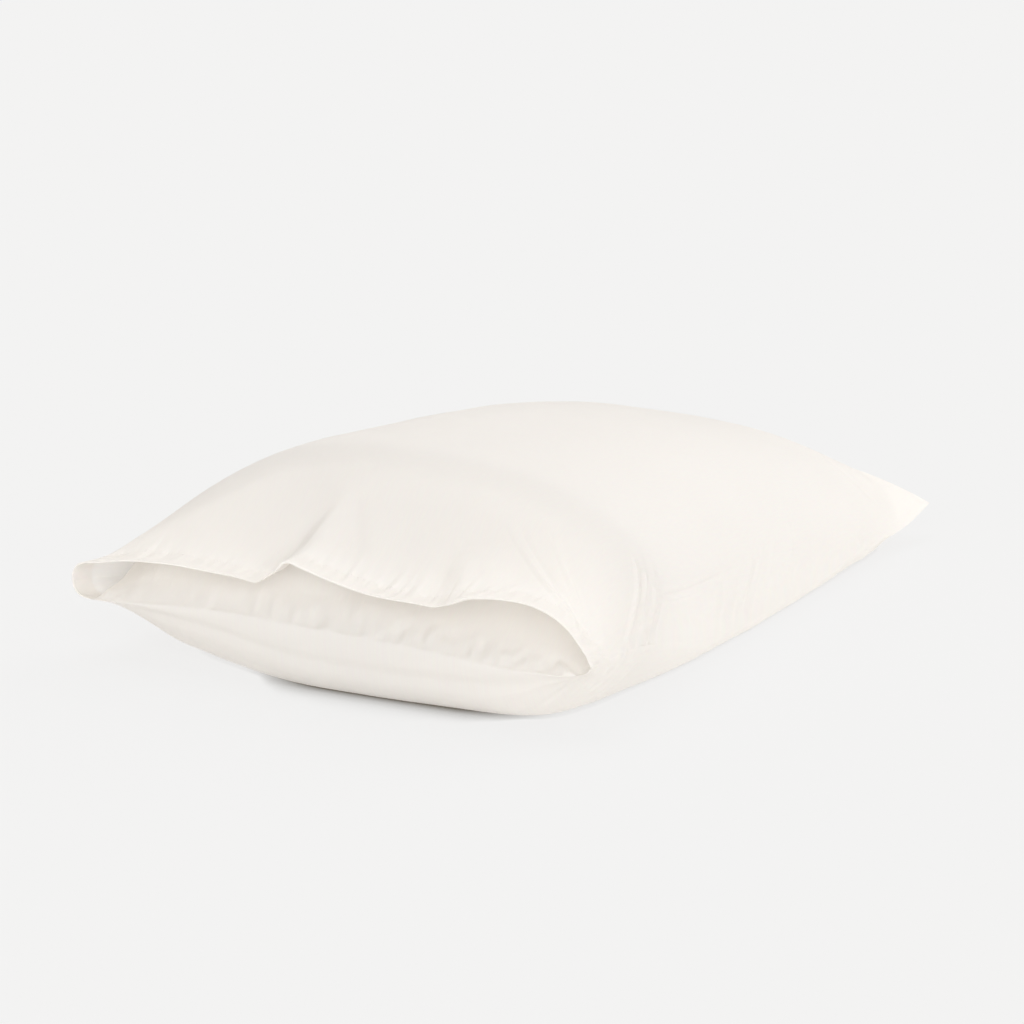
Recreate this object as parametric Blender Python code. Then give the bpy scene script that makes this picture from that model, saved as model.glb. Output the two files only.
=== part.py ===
"""A plain pillowcase on a pillow, lying flat with its open mouth towards -X.

Metres, +Z up, the surface it lies on at z = 0. u runs from the mouth (0) to the closed
end (1), v runs from the near long side (-1) to the far one (1).
"""

import bmesh
import bpy
import numpy as np

# Size of the filled case, measured straight from corner to corner
LENGTH = 0.735
WIDTH = 0.475
CLOTH = 0.0015  # thickness of one layer
HEM_EXTRA = 0.0009  # added thickness of the turned hem at the mouth
HEM_WIDTH = 0.022

# How far the filled sides pull in between the corners
DRAW_NEAR = 0.013
DRAW_FAR = 0.016
DRAW_SIDE_POWER = 2.4
DRAW_END = 0.038
DRAW_END_POWER = 2.2
MOUTH_BULGE = 0.008  # how far the middle of the mouth stands out

# The seam between the two panels
SEAM_GAP = 0.0003  # kept between the panels
RIM_WIDTH = 0.0013  # least width of a panel's mating face
RIM_SHARE = 0.8  # most of the first cell that the mating face may take
SNAP = 0.0007  # an inner face this near the seam surface lies on it
END_RISE = 0.047  # how far the middle of the closed end stands above its corners
END_RISE_POWER = 3.0

# Rounding of the filled form: (1 - distance ** flatness) ** power
SIDE_FLATNESS = 2.24
SIDE_POWER = 0.44
END_POWER = 0.62
END_START = 0.55  # where the rounding begins to change towards the closed end
EAR_SQUARENESS = 4.5  # how square the filling is at the closed end
EAR_START = 0.985
EAR_STOP = 1.113
EAR_LOFT = 0.0030  # half height of the flat, unfilled corners
EAR_LOFT_SIDE = 0.06  # how soon it is reached from the side, as a share of half the width
EAR_LOFT_END = 0.035  # and from the end, as a share of the length
LIP_REACH = 0.156  # how far in the lip's waves run, as a share of the length
LIP_REACH_DROP = 0.093  # less at the far corner
LIP_DROP_START = 0.25
LIP_DROP_STOP = 0.90

# The lower cloth
FLOOR_DEPTH = 0.094  # how far it would sag with no floor under it
UNDER_FLATNESS = 2.27
UNDER_POWER = 0.5
TURN_SPAN = 0.128  # its turn up to the mouth, as a share of the length
TURN_FLATNESS = 1.95
TURN_POWER = 0.55
FAR_TURN = 0.147  # extra length of that turn at the far corner
FAR_TURN_STOP = 0.8
CORNER_SQUARENESS = 4.0  # how square its floor area is at the mouth
CORNER_START = 0.87
CORNER_STOP = 1.20
END_SPAN = 0.25  # its turn up to the closed end
END_SPAN_POWER = 0.75
LOFT_STOP = 0.06  # where the least height over the seam is reached behind the mouth
DIP_STOP = 0.10  # where the fold's hang has died out
BELLY = 0.004  # how far it bellies out below the fold
BELLY_START = 0.02
BELLY_STOP = 0.06

# The inner flap that the lower cloth makes at the mouth
FLAP_REACH = 0.215  # how far in it goes, as a share of the length
FLAP_SIDE_SKIP = 2  # columns of the fold beside each of its sides
FLAP_TUCK_NEAR = 0.005  # how much further its near side stands in behind the fold
FLAP_TUCK_FAR = 0.058
FLAP_TUCK_REACH = 0.05  # how soon it does, as a share of the flap's depth
FLAP_MIDDLE = 0.5  # the near tuck turns into the far one over this half of the width
FLAP_GAP = 0.0016  # space between the flap and the cloth above it
FLAP_HEM_STOP = 0.2  # the lip's hem above it ends before this share of its depth
FLAP_SLOPE = 0.55  # its first rise from the fold
FLAP_SLOPE_START = 0.6  # where that rise steepens towards the sides
FLAP_SLOPE_STOP = 0.9
NEAR_SINK = 0.095  # depth over which its near part rises to the cloth above, in metres
FAR_SINK = 0.030
SINK_START = -0.45  # where one depth begins to turn into the other
SINK_STOP = 0.05
FOLD_GAP = 0.0009  # kept inside the fold, between the lower cloth and the flap
FOLD_SHARE = 0.45  # how far into the first row the fold's inner side may reach

# The pillow
PILLOW_START = 0.050
PILLOW_END = 0.970
PILLOW_WIDTH = 0.950
PILLOW_CORNER = 0.16  # rounding of its four corners
PILLOW_ROOM = 0.0040  # space left around it, measured upright
PILLOW_FLATNESS = 6.0
PILLOW_POWER = 0.4
PILLOW_UNDER_FLAP = 1.08  # it stays below the flap up to this share of the flap's depth

# Mesh rows and columns
PILLOW_ROWS = 16
PILLOW_COLUMNS = 14
PILLOW_CROWDING = 0.6
LIP_ROWS = 5
LIP_ROWS_START = 0.045
HEM_STEP = 0.002  # from the hem's edge to the next row
FOLD_STEP = 0.006  # from the fold to the flap's first row
TURN_ROWS = 8
SHARED_ROWS = 18
ROW_CROWDING = 0.72
PANEL_COLUMNS = 38
COLUMN_CROWDING = 0.5
TINY = 1e-9
NUDGE = 1e-3  # step used to find the slope of a surface

# Heights of the seams: (u, height)
NEAR_SEAM = (
    (0.00, 0.055), (0.12, 0.047), (0.30, 0.019), (0.55, 0.008), (0.80, 0.018), (0.93, 0.018), (1.00, 0.030),
)
FAR_SEAM = ((0.00, 0.062), (0.12, 0.049), (0.30, 0.044), (0.60, 0.036), (0.85, 0.034), (1.00, 0.030))

# Across the mouth: (v, height of the fold) and (v, height of the upper lip)
FOLD_LINE = (
    (-1.00, 0.055), (-0.95, 0.047), (-0.80, 0.045), (-0.35, 0.051), (0.00, 0.054), (0.40, 0.056),
    (0.80, 0.050), (0.93, 0.048), (0.975, 0.050), (1.00, 0.062),
)
UPPER_LIP = (
    (-1.00, 0.058), (-0.985, 0.066), (-0.95, 0.079), (-0.88, 0.090), (-0.81, 0.096), (-0.70, 0.098),
    (-0.60, 0.095), (-0.50, 0.089), (-0.35, 0.087), (-0.20, 0.089), (-0.05, 0.096), (0.05, 0.101),
    (0.10, 0.103), (0.15, 0.096), (0.20, 0.089), (0.28, 0.088), (0.60, 0.089), (0.77, 0.086),
    (0.90, 0.081), (0.95, 0.0785), (0.98, 0.074), (1.00, 0.062),
)

# Along the middle: (u, height of the upper cloth over the pillow)
CROWN = (
    (0.00, 0.098), (0.06, 0.1256), (0.15, 0.1629), (0.30, 0.1630), (0.50, 0.1565), (0.70, 0.1445),
    (0.85, 0.1265), (0.93, 0.1125), (1.00, 0.0770),
)


def smooth(value, low, high):
    """Ease from 0 at low to 1 at high."""
    s = np.clip((value - low) / (high - low), 0.0, 1.0)
    return s * s * (3.0 - 2.0 * s)


def curve(t, table):
    """Read a smooth curve through the (position, value) rows of a table."""
    x, y = np.array(table, float).T
    step = np.diff(x)
    slope = np.diff(y) / step
    tangent = np.empty(len(x))
    tangent[0], tangent[-1] = slope[0], slope[-1]
    tangent[1:-1] = (slope[:-1] * step[1:] + slope[1:] * step[:-1]) / (x[2:] - x[:-2])
    t = np.clip(t, x[0], x[-1])
    i = np.clip(np.searchsorted(x, t, side="right") - 1, 0, len(x) - 2)
    s = (t - x[i]) / step[i]
    rise = step[i]
    from_left = (2 * s**3 - 3 * s**2 + 1) * y[i] + (s**3 - 2 * s**2 + s) * rise * tangent[i]
    return from_left + (3 * s**2 - 2 * s**3) * y[i + 1] + (s**3 - s**2) * rise * tangent[i + 1]


def plan(u, v):
    """Place a point of the case seen from above."""
    pull = 1.0 - np.abs(2.0 * u - 1.0) ** DRAW_SIDE_POWER
    near = WIDTH / 2 - DRAW_NEAR * pull
    far = WIDTH / 2 - DRAW_FAR * pull
    y = np.where(v < 0, v * near, v * far)
    mouth = -LENGTH / 2 - MOUTH_BULGE * (1.0 - v**2)
    end = LENGTH / 2 - DRAW_END * (1.0 - np.abs(v) ** DRAW_END_POWER)
    return mouth + (end - mouth) * u, y


def seam_height(u, v):
    """Height of the surface that spans the seams, between the two panels."""
    far = (v + 1.0) / 2.0
    rise = END_RISE * (1.0 - np.abs(v) ** END_RISE_POWER)
    return (1 - far) * curve(u, NEAR_SEAM) + far * curve(u, FAR_SEAM) + u * rise


def fold_dip(v):
    """How far the fold at the mouth hangs below a line between the mouth's corners."""
    return seam_height(0.0 * v, v) - curve(v, FOLD_LINE)


def ear_share(u, v):
    """1 over the filling, 0 in the flat corners at the closed end."""
    reach = np.clip(2.0 * u - 1.0, 0.0, 1.0) ** EAR_SQUARENESS + np.abs(v) ** EAR_SQUARENESS
    return 1.0 - smooth(reach ** (1 / EAR_SQUARENESS), EAR_START, EAR_STOP)


def turn_span(v):
    """How far from the mouth the lower cloth's turn up to it begins."""
    return TURN_SPAN + FAR_TURN * smooth(v, 0.0, FAR_TURN_STOP)


def corner_share(u, v):
    """1 over the floor area, 0 at its rounded corners by the mouth."""
    back = np.clip(1.0 - u / turn_span(v), 0.0, 1.0)
    reach = back ** CORNER_SQUARENESS + np.abs(v) ** CORNER_SQUARENESS
    return 1.0 - smooth(reach ** (1 / CORNER_SQUARENESS), CORNER_START, CORNER_STOP)


def ear_loft(u, v):
    """Least half height of the case over its seam surface."""
    side = 1.0 - (1.0 - np.clip((1.0 - np.abs(v)) / EAR_LOFT_SIDE, 0.0, 1.0)) ** 2
    end = 1.0 - (1.0 - np.clip((1.0 - u) / EAR_LOFT_END, 0.0, 1.0)) ** 2
    return EAR_LOFT * side * end


def lip_share(u, v):
    """How strongly the upper cloth follows the waves of its lip."""
    reach = LIP_REACH - LIP_REACH_DROP * smooth(v, LIP_DROP_START, LIP_DROP_STOP)
    return 1.0 - smooth(u, 0.0, reach)


def front_face(u, v):
    """Outer face of the upper cloth."""
    x, y = plan(u, v)
    seam = seam_height(u, v)
    end = smooth(u, END_START, 1.0)
    power = SIDE_POWER * (1 - end) + END_POWER * end
    round_off = np.clip(1.0 - np.abs(v) ** SIDE_FLATNESS, 0.0, 1.0) ** power
    crown = (curve(u, CROWN) - seam_height(u, 0.0 * v)) * round_off * ear_share(u, v)
    filled = seam + SEAM_GAP / 2 + np.maximum(crown, ear_loft(u, v))
    share = lip_share(u, v)
    z = filled * (1 - share) + curve(v, UPPER_LIP) * share
    return np.stack((x, y, z), -1)


def back_face(u, v):
    """Outer face of the lower cloth, flat where it meets the floor."""
    x, y = plan(u, v)
    seam = seam_height(u, v)
    across = np.clip(1.0 - np.abs(v) ** UNDER_FLATNESS, 0.0, 1.0) ** UNDER_POWER
    mouth = (1.0 - (1.0 - np.clip(u / turn_span(v), 0.0, 1.0)) ** TURN_FLATNESS) ** TURN_POWER
    end = (1.0 - (1.0 - np.clip((1.0 - u) / END_SPAN, 0.0, 1.0)) ** 2) ** END_SPAN_POWER
    sag = FLOOR_DEPTH * across * mouth * end * ear_share(u, v) * corner_share(u, v)
    loft = ear_loft(u, v) * smooth(u, 0.0, LOFT_STOP)
    dip = fold_dip(v) * (1.0 - smooth(u, 0.0, DIP_STOP))
    z = np.maximum(seam - SEAM_GAP / 2 - dip - np.maximum(sag, loft), 0.0)
    level = np.clip(z / curve(v, FOLD_LINE), 0.0, 1.0)
    belly = 4.0 * level * (1.0 - level) * (1.0 - smooth(u, BELLY_START, BELLY_STOP)) * (1.0 - v**2)
    return np.stack((x - BELLY * belly, y, z), -1)


def outward(face, u, v, up):
    """Unit normal of a face, on the side that is up (1) or down (-1) where it lies level."""
    u0, u1 = np.clip(u - NUDGE, 0, 1), np.clip(u + NUDGE, 0, 1)
    v0, v1 = np.clip(v - NUDGE, -1, 1), np.clip(v + NUDGE, -1, 1)
    normal = np.cross(face(u1, v) - face(u0, v), face(u, v1) - face(u, v0))
    normal /= np.linalg.norm(normal, axis=-1, keepdims=True)
    return normal * up


def flap_width(t, v):
    """How much narrower the flap is than at the fold."""
    tuck = FLAP_TUCK_NEAR + (FLAP_TUCK_FAR - FLAP_TUCK_NEAR) * smooth(v, -FLAP_MIDDLE, FLAP_MIDDLE)
    return 1.0 - tuck * (1.0 - np.exp(-t / FLAP_TUCK_REACH))


def flap_face(t, v):
    """Outer face of the flap: t runs from the fold (0) to its inner edge (1)."""
    u = t * FLAP_REACH
    w = v * flap_width(t, v)
    above = front_face(u, w)
    room = CLOTH + HEM_EXTRA * (t < FLAP_HEM_STOP) + FLAP_GAP
    deep = above - outward(front_face, u, w, 1.0) * room[..., None]
    inward = u * LENGTH
    slope = FLAP_SLOPE * (1.0 + smooth(np.abs(w), FLAP_SLOPE_START, FLAP_SLOPE_STOP))
    first = np.minimum(curve(w, FOLD_LINE) + slope * inward, deep[..., 2])
    low = np.stack((above[..., 0], above[..., 1], first), -1)
    sink = NEAR_SINK + (FAR_SINK - NEAR_SINK) * smooth(w, SINK_START, SINK_STOP)
    share = smooth(inward, 0.0, sink)[..., None]
    return low * (1 - share) + deep * share


def grid(rows, columns):
    """Every pair of a row and a column position."""
    return np.meshgrid(np.array(rows), np.array(columns), indexing="ij")


def spread(count, crowding):
    """Positions from 0 to 1, closer together towards both ends."""
    t = np.linspace(0.0, 1.0, count + 1)
    return t - crowding * np.sin(2 * np.pi * t) / (2 * np.pi)


def lining(face, u, v, up, thickness):
    """Outer and inner face of a panel, mitred where the panel meets its seam."""
    outer = face(u, v)
    inner = outer - outward(face, u, v, up) * thickness[..., None]
    split = np.stack((*plan(u, v), seam_height(u, v) + up * SEAM_GAP / 2), -1)
    rim = (np.abs(v) > 1 - TINY) | (u > 1 - TINY)
    outer = np.where(rim[..., None], split, outer)
    step = beside_rim(split, u) - split
    reach = np.maximum(np.linalg.norm(step, axis=-1), TINY)
    share = np.minimum(np.maximum(thickness, RIM_WIDTH) / reach, RIM_SHARE)
    mitre = np.where(rim[..., None], split + step * share[..., None], split)
    close = (inner[..., 2] - mitre[..., 2]) * up < SNAP
    held = rim | (close & (u > HEM_WIDTH / LENGTH))
    return outer, np.where(held[..., None], mitre, inner), held


def beside_rim(points, u):
    """For each grid point on the rim, the grid point next to it on the inside."""
    rows, columns = u.shape
    i, j = np.meshgrid(np.arange(rows), np.arange(columns), indexing="ij")
    inner_row = rows - 2 if u[-1, 0] > u[0, 0] else 1
    i = np.where(u > 1 - TINY, inner_row, i)
    j = np.clip(j, 1, columns - 2)
    return points[i, j]


def cut_quads(outer, inner, held, cells):
    """Split each quad along the fuller diagonal, and where the panels mate, alike on both."""
    rows, columns = outer.shape[:2]
    span = outer[:-1, :-1] + outer[1:, 1:] - outer[1:, :-1] - outer[:-1, 1:]
    fuller = (span * (outer - inner)[:-1, :-1]).sum(-1) > 0
    mating = inner[:-1, :-1, 2] + inner[1:, 1:, 2] > inner[1:, :-1, 2] + inner[:-1, 1:, 2]
    shared = held[:-1, :-1] | held[1:, 1:] | held[1:, :-1] | held[:-1, 1:]
    along = np.where(shared, mating, fuller)
    closed = 0 if held[0].all() else -1
    along[closed, 0] = closed == 0
    along[closed, -1] = closed != 0
    triangles = []
    for i in range(rows - 1):
        for j in range(columns - 1):
            if not cells[i, j]:
                continue
            a, b = i * columns + j, i * columns + j + 1
            c, d = b + columns, a + columns
            triangles += [(a, b, c), (a, c, d)] if along[i, j] else [(a, b, d), (b, c, d)]
    return triangles


def shell_faces(outer, inner, held, cells):
    """Faces of a closed sheet made of the wanted cells of an outer and an inner grid."""
    count = outer.shape[0] * outer.shape[1]
    faces = cut_quads(outer, inner, held, cells)
    edges = {(face[k - 1], face[k]) for face in faces for k in range(3)}
    rim = sorted((a, b) for a, b in edges if (b, a) not in edges)
    faces += [(a + count, c + count, b + count) for a, b, c in faces]
    faces += [(b, a, a + count, b + count) for a, b in rim]
    return faces


def used_only(points, faces):
    """Drop the points that no face uses."""
    used = sorted({k for face in faces for k in face})
    place = {k: n for n, k in enumerate(used)}
    return points[used], [tuple(place[k] for k in face) for face in faces]


def material(name, shade, roughness):
    """A plain cloth material."""
    made = bpy.data.materials.new(name)
    made.use_nodes = True
    shader = made.node_tree.nodes["Principled BSDF"]
    shader.inputs["Base Color"].default_value = (*shade, 1.0)
    shader.inputs["Roughness"].default_value = roughness
    shader.inputs["Metallic"].default_value = 0.0
    made.diffuse_color = (*shade, 1.0)
    return made


def solid(name, points, faces, look):
    """Make one named object whose faces point outwards."""
    mesh = bpy.data.meshes.new(name)
    mesh.from_pydata([tuple(p) for p in points], [], faces)
    work = bmesh.new()
    work.from_mesh(mesh)
    bmesh.ops.triangulate(work, faces=work.faces[:], quad_method="FIXED")
    if work.calc_volume(signed=True) < 0:
        bmesh.ops.reverse_faces(work, faces=work.faces[:])
    work.to_mesh(mesh)
    work.free()
    mesh.materials.append(look)
    made = bpy.data.objects.new(name, mesh)
    bpy.context.collection.objects.link(made)
    return made


def panel_columns():
    """Positions across both panels, closer at the sides."""
    return spread(PANEL_COLUMNS, COLUMN_CROWDING) * 2.0 - 1.0


def lip_rows():
    """Positions along the upper cloth near the mouth, two of them at the edge of the hem."""
    hem = HEM_WIDTH / LENGTH
    rest = np.linspace(LIP_ROWS_START, TURN_SPAN, LIP_ROWS)
    return np.append((0.0, hem / 2, hem, hem + HEM_STEP), rest)


def shared_rows():
    """Positions along both panels beyond the mouth, closer towards both ends."""
    return TURN_SPAN + (1.0 - TURN_SPAN) * spread(SHARED_ROWS, ROW_CROWDING)[1:]


def flap_rows():
    """Positions along the flap, under those of the upper cloth."""
    above = np.append(lip_rows()[1:], shared_rows())
    return np.append(FOLD_STEP, np.append(above[above < FLAP_REACH], FLAP_REACH)) / FLAP_REACH


def front_points():
    """Outer and inner grids of the upper cloth, thicker in its hem."""
    u, v = grid(np.append(lip_rows(), shared_rows()), panel_columns())
    thickness = np.where(u < HEM_WIDTH / LENGTH + TINY, CLOTH + HEM_EXTRA, CLOTH)
    cells = np.ones((u.shape[0] - 1, u.shape[1] - 1), bool)
    return *lining(front_face, u, v, 1.0, thickness), cells


def back_points():
    """Outer and inner grids of the lower cloth and its flap, as one sheet."""
    turn = TURN_SPAN * np.linspace(0.0, 1.0, TURN_ROWS + 1) ** 2
    u, v = grid(np.append(turn, shared_rows())[::-1], panel_columns())
    outer, inner, held = lining(back_face, u, v, -1.0, np.full(u.shape, CLOTH))
    t, w = grid(flap_rows(), panel_columns())
    flap = flap_face(t, w)
    under = flap - outward(flap_face, t, w, 1.0) * CLOTH
    sides = slice(FLAP_SIDE_SKIP, v.shape[1] - FLAP_SIDE_SKIP)
    share = np.clip(u / FLAP_REACH, 0.0, 1.0)
    half = (flap_face(share, v / flap_width(share, v))[..., 2] + outer[..., 2] - FOLD_GAP) / 2
    beneath = (u > 0) & (u < HEM_WIDTH / LENGTH) & ~held
    inner[..., 2] = np.where(beneath, np.minimum(inner[..., 2], half), inner[..., 2])
    low = back_face(t * FLAP_REACH, w * flap_width(t, w))[..., 2]
    under[..., 2] = np.maximum(under[..., 2], (flap[..., 2] + low + FOLD_GAP) / 2)
    fold = len(u) - 1
    inner[fold, sides] = fold_lining(outer[fold], outer[fold - 1], flap[0])[sides]
    cells = np.ones((len(u) + len(t) - 1, v.shape[1] - 1), bool)
    cells[fold:, :FLAP_SIDE_SKIP] = False
    cells[fold:, -FLAP_SIDE_SKIP:] = False
    free = np.zeros(t.shape, bool)
    return np.vstack((outer, flap)), np.vstack((inner, under)), np.vstack((held, free)), cells


def fold_lining(crease, below, above):
    """Inner side of the fold: on the line that halves its angle."""
    first, second = below - crease, above - crease
    reach = np.minimum(np.linalg.norm(first, axis=-1), np.linalg.norm(second, axis=-1))
    first /= np.linalg.norm(first, axis=-1, keepdims=True)
    second /= np.linalg.norm(second, axis=-1, keepdims=True)
    half_sine = np.linalg.norm(first - second, axis=-1) / 2
    aim = (first + second) / np.linalg.norm(first + second, axis=-1, keepdims=True)
    depth = np.minimum(CLOTH / half_sine, FOLD_SHARE * reach)
    return crease + aim * depth[..., None]


def build_panel(name, grids, look):
    """Make one closed sheet from its two grids."""
    outer, inner, held, cells = grids
    points = np.vstack((outer.reshape(-1, 3), inner.reshape(-1, 3)))
    return solid(name, *used_only(points, shell_faces(outer, inner, held, cells)), look)


def pillow_height(u, v):
    """Highest and lowest level that the pillow may reach."""
    roof = front_face(u, v)[..., 2] - CLOTH
    t = np.clip(u / FLAP_REACH, 0.0, 1.0)
    under_flap = flap_face(t, v)[..., 2] - CLOTH
    roof = np.where(u < FLAP_REACH * PILLOW_UNDER_FLAP, np.minimum(roof, under_flap), roof)
    return roof - PILLOW_ROOM, back_face(u, v)[..., 2] + CLOTH + PILLOW_ROOM


def build_pillow(look):
    """Make the pillow as one filled solid that keeps clear of the cloth."""
    lengthwise = spread(PILLOW_ROWS, PILLOW_CROWDING) * 2 - 1
    crosswise = spread(PILLOW_COLUMNS, PILLOW_CROWDING) * 2 - 1
    p, q = grid(lengthwise, crosswise)
    middle, half = (PILLOW_START + PILLOW_END) / 2, (PILLOW_END - PILLOW_START) / 2
    u = middle + half * p * np.sqrt(1 - PILLOW_CORNER * q**2)
    v = PILLOW_WIDTH * q * np.sqrt(1 - PILLOW_CORNER * p**2)
    high, low = pillow_height(u, v)
    centre, loft = (high + low) / 2, (high - low) / 2
    inside = (1 - np.abs(p) ** PILLOW_FLATNESS) * (1 - np.abs(q) ** PILLOW_FLATNESS)
    loft = loft * np.clip(inside, 0, 1) ** PILLOW_POWER
    x, y = plan(u, v)
    top = np.stack((x, y, centre + loft), -1)
    base = np.stack((x, y, centre - loft), -1)
    return solid("pillow", *closed_pair(top, base), look)


def closed_pair(top, base):
    """Join two grids that share their rim into one closed body."""
    rows, columns = top.shape[:2]
    index = np.arange(rows * columns).reshape(rows, columns)
    lower = index + rows * columns
    for edge in (np.s_[0, :], np.s_[-1, :], np.s_[:, 0], np.s_[:, -1]):
        lower[edge] = index[edge]
    faces = []
    for i in range(rows - 1):
        for j in range(columns - 1):
            around = ((i, j), (i, j + 1), (i + 1, j + 1), (i + 1, j))
            faces.append(tuple(int(index[k]) for k in around))
            faces.append(tuple(int(lower[k]) for k in around[:1] + around[:0:-1]))
    return used_only(np.vstack((top.reshape(-1, 3), base.reshape(-1, 3))), faces)


def centre_all(objects):
    """Bring the middle of the whole box over the origin."""
    points = np.array([tuple(v.co) for made in objects for v in made.data.vertices])
    middle = (points.max(0) + points.min(0)) / 2
    for made in objects:
        for v in made.data.vertices:
            v.co.x -= middle[0]
            v.co.y -= middle[1]


def main():
    for old in list(bpy.data.objects):
        bpy.data.objects.remove(old, do_unlink=True)
    ivory = material("ivory_cotton_front", (0.87, 0.83, 0.775), 0.85)
    ivory_back = material("ivory_cotton_back", (0.86, 0.82, 0.765), 0.85)
    ticking = material("pillow_cotton", (0.88, 0.87, 0.84), 0.90)
    front = build_panel("front_panel", front_points(), ivory)
    back = build_panel("back_panel", back_points(), ivory_back)
    pillow = build_pillow(ticking)
    centre_all((front, back, pillow))


main()
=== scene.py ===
import math

import bmesh
import bpy
import numpy as np
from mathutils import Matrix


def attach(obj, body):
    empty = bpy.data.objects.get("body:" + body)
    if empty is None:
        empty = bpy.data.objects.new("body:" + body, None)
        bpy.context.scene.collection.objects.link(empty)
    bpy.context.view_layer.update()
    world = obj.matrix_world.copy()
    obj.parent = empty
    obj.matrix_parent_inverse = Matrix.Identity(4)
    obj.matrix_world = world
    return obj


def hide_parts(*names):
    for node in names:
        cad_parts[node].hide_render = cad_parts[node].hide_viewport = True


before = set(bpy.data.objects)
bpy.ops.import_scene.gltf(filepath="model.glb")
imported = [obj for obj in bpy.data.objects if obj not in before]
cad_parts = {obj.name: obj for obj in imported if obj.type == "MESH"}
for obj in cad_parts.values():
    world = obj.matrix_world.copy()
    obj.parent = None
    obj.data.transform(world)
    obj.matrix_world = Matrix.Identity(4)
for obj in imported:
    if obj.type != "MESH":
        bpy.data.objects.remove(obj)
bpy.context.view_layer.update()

RANDOM_SEED = 7
MM_IN_M = 1000.0

# The filled case, metres. u runs from the mouth (0) to the closed end (1), and v from the near
# side (-1) to the far side (1).
SHIFT_X = 0.0045157  # from the shape's own frame to the row frame
LENGTH = 0.735
WIDTH = 0.475
FLAT_LENGTH = 0.75
FLAT_WIDTH = 0.50
HEM = 0.021
HEM_THICK = 0.0012
HEM_FOLLOW = 0.6  # share of the outer face's relief that the turned hem has
DRAW_NEAR = 0.013
DRAW_FAR = 0.016
DRAW_SIDE_POWER = 2.4
DRAW_END = 0.038
DRAW_END_POWER = 2.2
MOUTH_BULGE = 0.008
END_RISE = 0.047
END_RISE_POWER = 3.0
SIDE_FLATNESS = 2.24
SIDE_POWER = 0.44
FAR_SIDE_SLIM = 0.035
FAR_SLIM_START = 0.3
FAR_SLIM_STOP = 0.8
END_POWER = 0.62
END_START = 0.55
EAR_SQUARENESS = 4.5
EAR_START = 0.985
EAR_STOP = 1.113
EAR_LOFT = 0.0026
EAR_LOFT_SIDE = 0.06
EAR_LOFT_END = 0.035
LOFT_BLEND = 0.0015
LIP_REACH = 0.156
LIP_REACH_DROP = 0.093
LIP_DROP_START = 0.25
LIP_DROP_STOP = 0.90
LIP_HOLD = 0.02
LOOP_BULGE = 0.0022
LOOP_BULGE_START = 0.90
LOOP_BULGE_STOP = 0.10
FLOOR_DEPTH = 0.094
FLOOR_BLEND = 0.002
UNDER_FLATNESS = 2.27
UNDER_POWER = 0.5
TURN_SPAN = 0.128
TURN_FLATNESS = 1.95
TURN_POWER = 0.55
FAR_TURN = 0.147
FAR_TURN_STOP = 0.8
CORNER_SQUARENESS = 4.0
CORNER_START = 0.87
CORNER_STOP = 1.20
END_SPAN = 0.25
END_SPAN_POWER = 0.75
LOFT_STOP = 0.06
DIP_STOP = 0.10
BELLY = 0.004
BELLY_START = 0.02
BELLY_STOP = 0.06
NUDGE = 1e-3
TINY = 1e-9

# The inner flap
FLAP_REACH = 0.215
FLAP_FAR_SIDE = 0.930
FLAP_TUCK_NEAR = 0.005
FLAP_TUCK_FAR = 0.042
FLAP_TUCK_REACH = 0.05
FLAP_MIDDLE = 0.5
FLAP_GAP = 0.0022
FLAP_SLOPE = 1.4
FLAP_LEDGE = 0.005
FLAP_RISE = 0.15
NEAR_SINK = 0.088
FAR_SINK = 0.036
SINK_START = -0.45
SINK_STOP = 0.05
FAR_END_SINK = 0.05
FAR_END_START = 0.70
FAR_END_STOP = 0.92

# Heights along the seams: (u, height)
NEAR_SEAM = (
    (0.00, 0.055), (0.12, 0.047), (0.30, 0.019), (0.55, 0.008), (0.80, 0.018), (0.93, 0.018),
    (1.00, 0.030),
)
FAR_SEAM = (
    (0.00, 0.062), (0.12, 0.049), (0.30, 0.044), (0.60, 0.036), (0.85, 0.034), (1.00, 0.030),
)

# Across the mouth: (v, height of the fold) and (v, height of the lip)
FOLD_LINE = (
    (-1.00, 0.055), (-0.985, 0.0505), (-0.95, 0.0470), (-0.80, 0.045), (-0.35, 0.051),
    (0.00, 0.054), (0.40, 0.056), (0.80, 0.050), (0.90, 0.0480), (0.941, 0.0478),
    (0.958, 0.0485), (0.9705, 0.0498), (0.983, 0.0521), (0.9916, 0.0547), (0.9958, 0.0567),
    (0.9979, 0.0582), (1.00, 0.062),
)
UPPER_LIP = (
    (-1.00, 0.058), (-0.985, 0.0625), (-0.97, 0.0672), (-0.95, 0.0735), (-0.92, 0.0815),
    (-0.88, 0.0885), (-0.81, 0.0955), (-0.70, 0.098), (-0.60, 0.0942), (-0.50, 0.0885),
    (-0.35, 0.087), (-0.20, 0.089), (-0.05, 0.096), (0.05, 0.101), (0.10, 0.103),
    (0.15, 0.096), (0.20, 0.089), (0.28, 0.088), (0.60, 0.089), (0.77, 0.086), (0.90, 0.0805),
    (0.941, 0.0788), (0.958, 0.0779), (0.9705, 0.0764), (0.983, 0.0736), (0.9916, 0.0706),
    (0.9958, 0.0682), (0.9979, 0.0664), (1.00, 0.062),
)
# Across the flap: (v, how high it rolls up at its fold), and (v, how far from the fold it starts
# to climb the end of the pillow)
FLAP_ROLL = (
    (-1.00, 0.004), (-0.85, 0.006), (-0.68, 0.008), (-0.40, 0.019), (-0.17, 0.030), (0.05, 0.026),
    (0.52, 0.026), (0.69, 0.021), (0.83, 0.009), (0.95, 0.003), (1.00, 0.003),
)
FLAP_FLAT = (
    (-1.00, 0.001), (-0.90, 0.003), (-0.68, 0.006), (-0.40, 0.014), (-0.17, 0.026), (0.05, 0.022),
    (0.52, 0.020), (0.69, 0.016), (0.83, 0.014), (1.00, 0.008),
)
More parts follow.
